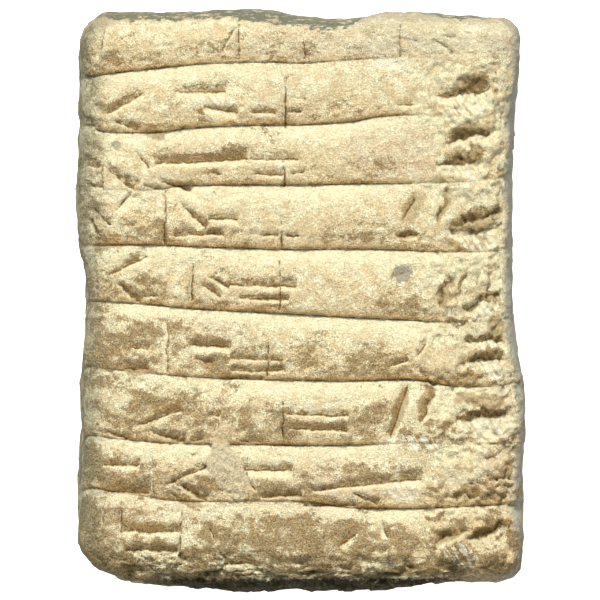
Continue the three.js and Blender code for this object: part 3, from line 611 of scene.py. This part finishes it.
    # lumps and grain of the clay itself, the filling, and the flaked lower edge
    filled = (inPatch(x, y, mended) + (sway + swing) * 2.4).ease(0.0, 0.25) * written
    bumps = [uneven("lumps", broken), uneven("knobs", broken), uneven("grain", filled + broken),
             uneven("chunks", broken)]
    pits = board.noise(place, 1.5, 2.0, 0.6).ease(0.66, 0.74) * cuts["pits"]
    leaves = board.noise(board.vector(x * 0.5, y * 1.4, z * 1.4), 1.0, 3.0, 0.6)
    flaking = zone("flakedEdge", (sway + swing) * 3.0) * zone("flakedAcross")
    torn = flaking * leaves.ease(0.42, 0.62) * cuts["flakes"]
    striped = pressed.ease(0.05, 0.3) * (cuts["stripes"] + cuts["brokenStripes"] * broken)
    striped = striped + board.kept("pale").ease(0.0, 0.5) * cuts["paleStripes"]
    stripes = board.noise(board.streaked(x, y, z, 2.6, 0.25), 1.0, 2.0)
    depth = board.between(filled, ruled + pressed, cuts["filling"]) + torn + pits - sum(bumps)
    depth = depth + (stripes - 0.5) * striped

    inwards = board.vectorMaths("NORMALIZE", board.vector(nx, ny * 0.2, nz))
    moved = board.vectorMaths("SUBTRACT", place, board.scaled(inwards, depth))
    x, y, z = moved.parts()
    aboveFloor = halfEdge + given["Back Crown"] - given["Resting Cut"]
    z = (z + aboveFloor).atLeast(given["Lift"])

    nearest = (blockY - lineBelow).atMost(lineAbove - blockY)
    isLow = (row - rowNumber).maths("GREATER_THAN", 0.5)
    lineSoil = board.between(isLow, aboveStrength, belowStrength) * written
    finished = keep(board, worked, {
        "lineGap": blockY - lineBelow, "lineNear": nearest, "lineSoil": lineSoil, "face": nz,
        "filled": filled, "torn": torn, "broken": broken, "low": low, "high": high})
    finished = node("GeometryNodeSetPosition", {}, {"Geometry": finished, "Position": board.scaled(
        board.vector(x, y, z), mm)})
    # which way each point faces up or down the tablet; the material uses it to paint shade on faces turned
    # from the light
    finished = keep(board, finished, {"tilt": node("GeometryNodeInputNormal", {}, {}).parts()[1]})
    finished = node("GeometryNodeSetShadeSmooth", {}, {"Geometry": finished, "Shade Smooth": True})
    finished = node("GeometryNodeRealizeInstances", {}, {"Geometry": finished})
    finished = node("GeometryNodeSetMaterial", {}, {"Geometry": finished, "Material": material})
    leave = board.tree.nodes.new("NodeGroupOutput")
    board.tree.links.new(finished.socket, leave.inputs[0])
    return board


paintColours = {
    # colours of the clay; some of them are used below as painted shade and highlights
    "cream": (0.89, 0.84, 0.57), "tan": (0.73, 0.565, 0.32), "skin": (0.34, 0.265, 0.145),
    "soil": (0.16, 0.082, 0.012), "brown": (0.33, 0.205, 0.075), "crustAndShade": (0.17, 0.12, 0.045),
    "lineBrown": (0.44, 0.265, 0.085), "flakeShade": (0.14, 0.105, 0.045), "under": (0.02, 0.018, 0.008),
    "filling": (0.60, 0.51, 0.33), "fleck": (0.24, 0.215, 0.175), "pinkish": (0.66, 0.50, 0.37),
    "patina": (0.15, 0.16, 0.115), "side": (0.42, 0.44, 0.38), "leftSide": (0.43, 0.42, 0.29),
    "rim": (0.5, 0.445, 0.30), "pale": (0.87, 0.85, 0.67), "lichen": (0.2, 0.185, 0.11),
}
strength = {  # how strongly each paint covers, where it is at its fullest, 0 to 1
    "tan": 0.7, "tanCorner": 0.9, "pinkish": 0.3, "sides": 0.9, "rim": 0.8, "thinSkin": 0.4, "skin": 0.78,
    "wallHighlight": 0.5, "rowTopHighlight": 0.5, "wallBrownAndShade": 0.6, "lineBrown": 0.75, "shade": 0.6, "crustAndShade": 0.65,
    "rubbed": 0.75, "rubbedDirt": 0.4, "dirtAndShade": 0.9, "smooth": 0.65, "scratches": 0.4, "lichen": 0.75,
    "patina": 0.92, "filling": 0.75, "flakeShade": 0.6, "under": 0.95,
}
flecks = [  # small spots: where, which paint, and how strongly
    (patch(8.8, 2.3, 1.9, 1.6, 20), "fleck", 0.75), (patch(-15.8, 13.3, 1.0, 0.8), "fleck", 0.6),
    (patch(7.7, 20.3, 3.4, 1.3, -8), "pale", 0.5), (patch(8.0, -12.2, 2.8, 1.1, 10), "pale", 0.3),
]
patinaEdge = [  # how far down the patina comes, from the left edge to the right one
    24.8, 24.5, 24.0, 24.2, 24.0, 24.3, 23.9, 23.85, 23.6, 23.2, 23.9, 24.9, 25.0, 24.3, 24.3, 24.4, 23.6,
]
skinLeaning = {  # how much likelier the grey-brown skin is in each kind of place; facingTop, upperWall and lowerWall also paint shade on faces turned from the light and light on faces turned to it
    "low": 0.045, "left": 0.05, "bottom": 0.06, "leftEdge": 0.06, "lowerHalf": 0.02, "clean": -0.055,
    "stain": 0.095, "facingTop": -0.14, "upperWall": 0.06, "lowerWall": -0.1, "rightUnder": 0.07,
}
# widths of the dark paint along strokes' deepest lines and ruled lines (partly dirt, partly painted shade),
# and of the brown and painted shade above each ruled line
darkLineWidth = {"stroke": 0.08, "ruled": 0.07, "aboveRuled": 0.45}
surfaceBump = {"speckle": 0.26, "fine": 0.22, "grit": 0.09, "skin": -0.02, "cracks": -0.03, "keel": -0.05}


def clayMaterial():  # colours by place and by what the clay tree stored, painted shade and highlights among them
    material = bpy.data.materials.new("clay")
    material.use_nodes = True
    material.node_tree.nodes.clear()
    board = Board(material.node_tree)
    node, noise = board.node, board.noise
    place = board.scaled(node("ShaderNodeTexCoord", {}, {}, "Object"), 1 / mm)

    def kept(name):
        return node("ShaderNodeAttribute", {"attribute_name": name}, {}, "Fac")

    def paint(under, name, amount):
        return board.blend(amount, under, (*paintColours[name], 1))

    def veins(noise, wide, narrow):  # thin lines, where a noise passes its middle value
        return abs(noise - 0.5).ease(wide, narrow)

    lineGap, lineNear, lineSoil, face, gap, pressed = map(
        kept, ("lineGap", "lineNear", "lineSoil", "face", "gap", "pressed"))
    filled, torn, broken, tilt, low, high = map(kept, ("filled", "torn", "broken", "tilt", "low", "high"))
    stain, shade, pale = map(kept, ("stain", "shade", "pale"))
    x, y, z = place.parts()
    zone = zonesAt(x, y, z)
    blotches = noise(board.vector(x * 0.85, y * 1.15, z), 0.45, 8.0, 0.7)
    drift = noise(place, 0.1, 2.0)
    fine = noise(place, 2.2, 4.0, 0.65)
    speckle = noise(place, 5.5, 3.0, 0.7)
    grit = noise(place, 8.5, 2.0, 0.6)
    cracks = veins(noise(place, 1.9, 2.0, 0.6, 1.2), 0.06, 0.015)
    cracks = cracks.atLeast(veins(noise(place, 3.4, 2.0, 0.6, 1.0), 0.06, 0.015) * 0.8)
    uneven = (fine - 0.5) * 1.4 + (blotches - 0.5) * 2.0
    grains = (fine - 0.5) * 2.2 + (speckle - 0.5) * 1.8

    # the parts of a stroke
    inStroke = pressed.ease(0.08, 0.2) * (1 - filled)
    upperWall = inStroke * gap.ease(-0.03, 0.05)
    lowerWall = inStroke * gap.ease(0.03, -0.05)
    worn = 0.45 + 0.55 * fine.ease(0.38, 0.52)
    # dark paint along the deepest line of each stroke and of each ruled line: partly dirt, partly painted
    # shade
    keel = (1.5 - abs(gap) / darkLineWidth["stroke"]).atLeast(0).atMost(1) * pressed.ease(0.1, 0.3)
    keel = keel * (1 - filled) * worn * (1 - 0.5 * broken)
    ruledKeel = (1.5 - lineNear / darkLineWidth["ruled"]).atLeast(0).atMost(1) * lineSoil
    ruledKeel = ruledKeel * (1 - filled) * worn

    # where the grey-brown skin has stayed, with painted shade added on faces turned from the light
    cover = blotches + (drift - 0.5) * 0.25 - 0.05
    for name, amount in {
            "low": low, "left": zone("skinLeft"), "bottom": zone("skinBottom"),
            "stain": stain.ease(-0.4, 0.7), "leftEdge": zone("skinLeftEdge"),
            "lowerHalf": zone("skinLowerHalf"), "clean": zone("cleanFrom") * zone("cleanTo"),
            "facingTop": tilt.atLeast(-0.4).atMost(0.4), "upperWall": upperWall, "lowerWall": lowerWall,
            "rightUnder": face.ease(0.5, 0.1) * zone("skinUnder") * zone("skinRight")}.items():
        cover = cover + amount * skinLeaning[name]
    skin = (cover + (fine - 0.5) * 0.4 + (speckle - 0.5) * 0.28).ease(0.585, 0.615)
    thinSkin = (cover + (speckle - 0.5) * 0.5).ease(0.52, 0.64)

    # bare clay, and the sides: their grey is partly the clay's own and partly painted shade
    tan = (noise(place, 0.8, 5.0, 0.6) + low * 0.12).ease(0.44, 0.64)
    colour = paint(board.vector(*paintColours["cream"]), "tan", tan * strength["tan"])
    colour = paint(colour, "tan", zone("tanRight") * zone("tanBottom") * strength["tanCorner"])
    pinkish = (drift + (fine - 0.5) * 0.4).ease(0.52, 0.62)
    colour = paint(colour, "pinkish", pinkish * strength["pinkish"])
    # grey on the sides, partly the clay's own colour and partly painted shade; on the right side it thins out
    # towards the floor
    fading = (z + uneven * 5.0).ease(1.0, 8.5, 0.25, strength["sides"])
    colour = paint(colour, "side", (face + uneven * 0.4).ease(0.7, 0.3) * zone("rightSide") * fading)
    colour = paint(colour, "leftSide", (face + uneven).ease(0.8, 0.4) * zone("leftSide") * strength["sides"])
    colour = paint(colour, "rim", (face + uneven * 0.5).ease(0.75, 0.35) * zone("topRim") * strength["rim"])
    colour = paint(colour, "skin", thinSkin * strength["thinSkin"])
    colour = paint(colour, "skin", skin * strength["skin"])
    colour = paint(colour, "brown", cracks * (0.42 + 0.4 * thinSkin))

    # the walls of strokes and ruled lines, and the crushed clay above hollows: painted highlights where they
    # face the light, brown clay and painted shade where they face away
    # painted highlight on the lower walls of strokes and the tops of rows, which face the light
    colour = paint(colour, "cream", lowerWall * (1 - skin) * strength["wallHighlight"])
    colour = paint(colour, "cream", high * (1 - skin) * strength["rowTopHighlight"])
    streaks = noise(board.vector(gap * 6, x * 0.5, y * 0.5), 1.0, 2.0) - 0.5
    # brown clay and painted shade on the upper walls of strokes, which face away from the light
    wallBrownAndShade = upperWall * (0.1 + pressed * 1.3 + grains + streaks).ease(0.35, 0.65)
    colour = paint(colour, "brown", wallBrownAndShade * strength["wallBrownAndShade"])
    # brown clay and painted shade on the steep wall above each ruled line
    aboveLine = (1.3 - lineGap / darkLineWidth["aboveRuled"]).atLeast(0).atMost(1) * lineSoil
    colour = paint(colour, "lineBrown", aboveLine * strength["lineBrown"])
    # brown over the shades patches: crushed clay and painted shade above the hollows
    colour = paint(colour, "brown", (shade + grains * 0.5).ease(0.0, 0.5) * strength["shade"])
    # dark crust and painted shade on the upper walls of broken strokes
    crustAndShade = upperWall * broken * (pressed * 1.1 + grains).ease(0.3, 0.6)
    colour = paint(colour, "crustAndShade", crustAndShade * strength["crustAndShade"])

    # rubbed, streaky slopes below them
    streaky = noise(board.streaked(x, y, z, 1.0, 0.12), 3.2, 2.0, 0.6)
    rubbed = (pale + grains * 0.3).ease(0.0, 0.5)
    colour = paint(colour, "pale", rubbed * streaky.ease(0.45, 0.6) * strength["rubbed"])
    colour = paint(colour, "brown", rubbed * streaky.ease(0.45, 0.36) * strength["rubbedDirt"])

    # the layered lower edge, and dark paint in the deepest lines: partly dirt, partly painted shade
    layers = veins(noise(board.vector(x * 0.35, y * 1.3, z * 1.3), 1.0, 5.0, 0.65, 0.6), 0.05, 0.015)
    colour = paint(colour, "crustAndShade", layers * zone("layered") * (0.4 + fine.ease(0.4, 0.6) * 0.5))
    colour = paint(colour, "soil", keel.atLeast(ruledKeel) * strength["dirtAndShade"])

    # the smooth, scratched part at the top right, and grey growth on the left edge
    smooth = zone("smoothAcross") * zone("smoothUp")
    scratched = board.vector((x * 0.85 - y * 0.5) * 0.2, (x * 0.5 + y * 0.85) * 1.6, z)
    scratches = veins(noise(scratched, 1.0, 2.0), 0.03, 0.01)
    smeared = smooth * (blotches + (fine - 0.5) * 0.6).ease(0.3, 0.6)
    colour = paint(colour, "rim", smeared * strength["smooth"])
    colour = paint(colour, "pale", scratches * smooth * strength["scratches"])
    lichen = zone("lichen") * (blotches * 2.2 + (fine - 0.5) * 1.2 - 0.6).ease(0.35, 0.6)
    colour = paint(colour, "lichen", lichen * strength["lichen"])

    # patina on the top edge, the filling, flecks, painted shade in the flaked hollows, and painted shade on
    # the lower end
    edge = board.through((x + clay["Width"] / 2) / clay["Width"], patinaEdge)
    top = (y - edge + (noise(place, 0.9, 5.0, 0.65) - 0.5) * 2.2).ease(-0.05, 0.1)
    scales = noise(board.vector(x * 1.1, y * 3.2, z * 1.3), 1.0, 5.0, 0.65).ease(0.62, 0.5)
    downTo = (z + (blotches - 0.5) * 18.0).ease(4.0, 13.5, 0.1, strength["patina"])
    colour = paint(colour, "patina", top * scales * downTo)
    colour = paint(colour, "filling", filled * strength["filling"])
    for area, name, amount in flecks:
        colour = paint(colour, name, (inPatch(x, y, area) + grains * 1.2).ease(0.0, 0.3) * amount)
    # painted shade in the flaked hollows of the lower edge
    colour = paint(colour, "flakeShade", torn.ease(0.15, 0.4) * strength["flakeShade"])
    # painted shade: a near-black band on the lower end's side, where it faces away from the light
    under = zone("stainEnd", (fine - 0.5) * 1.4) * face.ease(0.97, 0.75)
    under = under * zone("stainLeft", uneven * 4.0) * zone("stainRight", uneven * 4.0)
    under = under * zone("stainDown", uneven * 5.0) * fine.ease(0.66, 0.5, 0.6, strength["under"])
    colour = paint(colour, "under", under)

    # sandy grain over everything
    grainy = (0.35 + 0.65 * (cover + (fine - 0.5) * 0.3).ease(0.42, 0.58)) * (1 - 0.4 * high)
    tone = 1 + ((speckle - 0.5) * 1.9 + (grit - 0.5) * 2.5) * grainy
    colour = board.blend(1.0, colour, board.vector(tone, tone, tone), "MULTIPLY")

    heights = {"speckle": speckle, "fine": fine, "grit": grit, "skin": skin, "cracks": cracks, "keel": keel}
    height = sum(value * surfaceBump[name] for name, value in heights.items())
    bump = node("ShaderNodeBump", {}, {"Strength": 1.0, "Distance": mm, "Height": height})
    surface = node("ShaderNodeBsdfPrincipled", {}, {"Base Color": colour, "Roughness": 0.92,
                                                    "Specular IOR Level": 0.1, "Normal": bump})
    node("ShaderNodeOutputMaterial", {}, {"Surface": surface})
    return material


stage = {
    "floorSize": 2.0, "floorShade": (0.9, 0.9, 0.9), "floorRoughness": 0.9, "floorGlow": 1.0,
    "sunTurn": 42, "sunSide": 7, "sunStrength": 4.55, "sunSoftness": 12, "sunColour": (1.0, 0.98, 0.94),
    "fill": 0.66, "fillColour": (0.97, 0.98, 0.97),
    "cameraHeight": 1.0, "viewWidth": 0.052, "middleHeight": 0.0085,
}


def floorMaterial():
    material = bpy.data.materials.new("floor")
    material.use_nodes = True
    shader = material.node_tree.nodes["Principled BSDF"]
    shader.inputs["Base Color"].default_value = (*stage["floorShade"], 1)
    shader.inputs["Roughness"].default_value = stage["floorRoughness"]
    shader.inputs["Emission Color"].default_value = (1, 1, 1, 1)
    shader.inputs["Emission Strength"].default_value = stage["floorGlow"]
    return material


# Share of the faces kept, and how far a side must face up to be wholly spared, and not spared at all.
thinning = {"share": 0.5, "steps": 4, "from": 0.55, "to": 0.1}


def thinned(piece):  # the sides and back carry only broad shapes, so they need far fewer faces
    group = piece.vertex_groups.new(name="plain")
    facing = [value.value for value in piece.data.attributes["face"].data]
    steps, span = thinning["steps"], thinning["from"] - thinning["to"]
    for step in range(1, steps + 1):
        chosen = [i for i, up in enumerate(facing) if (thinning["from"] - up) / span * steps >= step]
        group.add(chosen, step / steps, "REPLACE")
    modifier = piece.modifiers.new("thin", "DECIMATE")
    modifier.ratio, modifier.vertex_group = thinning["share"], group.name
    mesh = bpy.data.meshes.new_from_object(piece.evaluated_get(bpy.context.evaluated_depsgraph_get()))
    piece.modifiers.remove(modifier)
    piece.vertex_groups.clear()
    piece.data = mesh
    return piece


patchLayout = {"place": ("x", "y", "turn"), "size": ("long", "wide", "wide")}
strokeLayout = {"place": ("x", "y", "turn"), "size": ("long", "up", "down"), "form": ("deep", "tail", "bowl")}
marked = {"Strokes": loosePoints("strokes", [mark for marks in rows for mark in marks], strokeLayout)}
for label, areas in {"Stains": stains, "Shades": shades, "Pale Parts": paleParts}.items():
    marked[label] = loosePoints(label.lower(), areas, patchLayout)
tablet = runTree("clay_tablet", clayTree(clayMaterial()), {**clay, **marked})
for points in marked.values():
    bpy.data.objects.remove(points)
print("clay pressed:", len(tablet.data.vertices), "vertices")
thinned(tablet)
print("sides and back thinned:", sum(len(face.vertices) - 2 for face in tablet.data.polygons), "triangles")

bpy.ops.mesh.primitive_plane_add(size=stage["floorSize"])
floor = bpy.context.object
floor.name = "floor"
floor.data.materials.append(floorMaterial())
floor.visible_diffuse = False

sun = bpy.data.objects.new("key", bpy.data.lights.new("key", "SUN"))
sun.data.energy = stage["sunStrength"]
sun.data.angle = math.radians(stage["sunSoftness"])
sun.data.color = stage["sunColour"]
sun.rotation_euler = Euler((-math.radians(stage["sunTurn"]), 0, math.radians(stage["sunSide"])))
bpy.context.scene.collection.objects.link(sun)

world = bpy.data.worlds.new("studio")
bpy.context.scene.world = world
world.use_nodes = True
background = world.node_tree.nodes["Background"]
background.inputs["Color"].default_value = (*stage["fillColour"], 1)
background.inputs["Strength"].default_value = stage["fill"]

camera = bpy.data.objects.new("camera", bpy.data.cameras.new("camera"))
camera.location = (0, 0, stage["cameraHeight"] + stage["middleHeight"])
camera.data.lens = camera.data.sensor_width * stage["cameraHeight"] / stage["viewWidth"]
camera.data.clip_start, camera.data.clip_end = 0.01, 10
bpy.context.scene.collection.objects.link(camera)
bpy.context.scene.camera = camera
bpy.context.scene.view_settings.view_transform = "Standard"
print("stage set")

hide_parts("tablet")
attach(tablet, "root")
